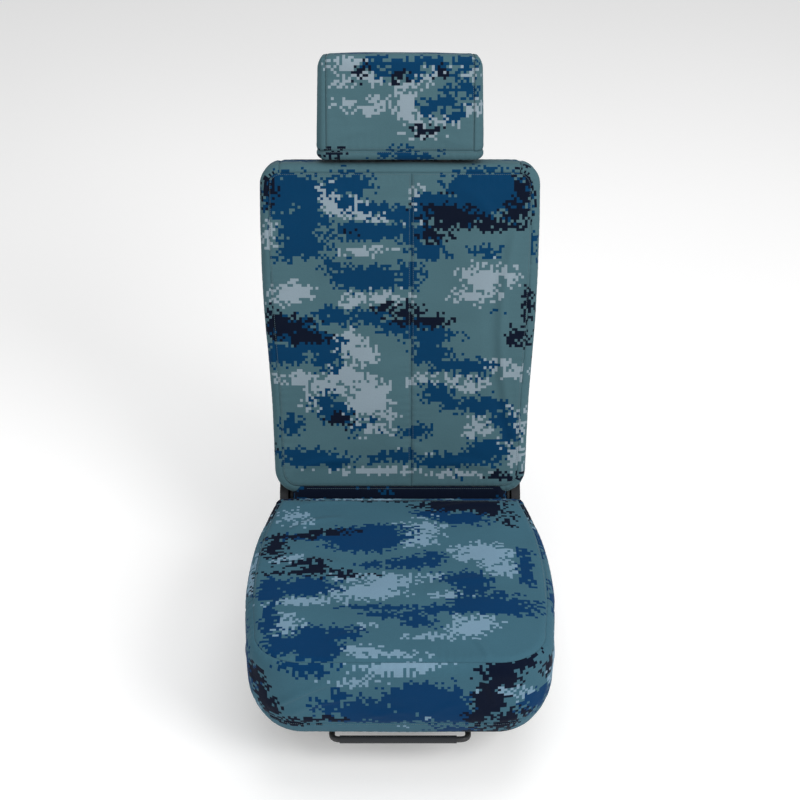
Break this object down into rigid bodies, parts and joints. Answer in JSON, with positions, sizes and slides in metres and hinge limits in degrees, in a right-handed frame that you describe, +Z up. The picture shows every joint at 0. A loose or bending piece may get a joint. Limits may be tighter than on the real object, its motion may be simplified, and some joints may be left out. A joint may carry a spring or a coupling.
{
  "type": "seat cover set",
  "caption": "Camouflage cloth covers for headrest, backrest and cushion, fitted on a reclining vehicle seat with floor rails.",
  "frame": {"origin": "centre of the base of the bounding box, on the floor", "axes": "+Z up, -Y the way the seat faces, +X to the right of someone looking at the front"},
  "size_m": [0.5154, 0.8728, 0.9469],
  "materials": {
    "camouflage": "printed woven polyester",
    "foam": "open-cell foam",
    "webbing": "woven",
    "steel": "satin black",
    "zinc": "zinc plated",
    "chrome": "polished",
    "trim": "fine grain"
  },
  "bodies": {
    "floor_rails": {"lower_rail_left": "steel", "lower_rail_right": "steel", "rail_bolt_front_left": "zinc", "rail_bolt_front_right": "zinc", "rail_bolt_rear_left": "zinc", "rail_bolt_rear_right": "zinc"},
    "seat_base": {"upper_rail_left": "steel", "upper_rail_right": "steel", "side_member_left": "steel", "side_member_right": "steel", "recliner_shield_left": "trim", "recliner_shield_right": "trim", "cross_tube_front": "steel", "cross_tube_rear": "steel", "seat_pan": "steel", "cushion_foam": "foam", "cushion_cover_top": "camouflage", "cushion_cover_front": "camouflage", "cushion_cover_side_left": "camouflage", "cushion_cover_side_right": "camouflage", "cushion_cover_rear": "camouflage", "cushion_cover_hem": "camouflage", "cover_strap_left": "webbing", "cover_strap_right": "webbing", "strap_hook_front_left": "zinc", "strap_hook_front_right": "zinc", "strap_hook_rear_left": "zinc", "strap_hook_rear_right": "zinc", "centre_strap_front": "webbing", "buckle_socket": "trim"},
    "buckle": {"buckle_plug": "trim", "centre_strap_rear": "webbing"},
    "release_bar": {"slide_release_bar": "steel", "slide_release_grip": "trim"},
    "lever": {"recline_lever": "trim"},
    "backrest": {"backrest_side_frame_left": "steel", "backrest_side_frame_right": "steel", "backrest_top_tube": "steel", "backrest_lower_tube": "steel", "lumbar_plate": "steel", "backrest_foam": "foam", "backrest_cover_front_left": "camouflage", "backrest_cover_front_right": "camouflage", "backrest_cover_side_left": "camouflage", "backrest_cover_side_right": "camouflage", "backrest_cover_top": "camouflage", "backrest_cover_back": "camouflage", "backrest_tuck_flap": "camouflage", "tuck_flap_closure": "webbing", "headrest_sleeve_left": "trim", "headrest_sleeve_right": "trim"},
    "lock_button": {"headrest_lock_button": "trim"},
    "headrest": {"headrest_post_rod": "chrome", "headrest_foam": "foam", "headrest_cover_main": "camouflage", "headrest_cover_side_left": "camouflage", "headrest_cover_side_right": "camouflage", "headrest_cover_hem": "camouflage", "headrest_cover_underflap": "camouflage"}
  },
  "joints": [
    {"name": "seat_slide", "type": "slide", "parent": "floor_rails", "child": "seat_base", "axis": [0, 1, 0], "range_m": [-0.1, 0.1]},
    {"name": "backrest_recline", "type": "hinge", "parent": "seat_base", "child": "backrest", "pos_m": [0, 0.13161, 0.17], "axis": [-1, 0, 0], "range_deg": [-18, 50]},
    {"name": "headrest_height", "type": "slide", "parent": "backrest", "child": "headrest", "axis": [0, 0.342, 0.9397], "range_m": [0, 0.07]},
    {"name": "lock_button_press", "type": "slide", "parent": "backrest", "child": "lock_button", "axis": [-1, 0, 0], "range_m": [0, 0.004], "stiffness_N_per_m": 300, "springref_m": -0.002},
    {"name": "recline_lever_lift", "type": "hinge", "parent": "seat_base", "child": "lever", "pos_m": [0.22, 0.14161, 0.076], "axis": [-1, 0, 0], "range_deg": [0, 18], "stiffness_Nm_per_rad": 0.8, "springref_deg": -17.19},
    {"name": "slide_release_lift", "type": "hinge", "parent": "seat_base", "child": "release_bar", "pos_m": [0, -0.32339, 0.066], "axis": [-1, 0, 0], "range_deg": [0, 8], "stiffness_Nm_per_rad": 4, "springref_deg": -11.46},
    {"name": "buckle_release", "type": "slide", "parent": "seat_base", "child": "buckle", "axis": [0, 1, 0], "range_m": [0, 0.03]}
  ]
}
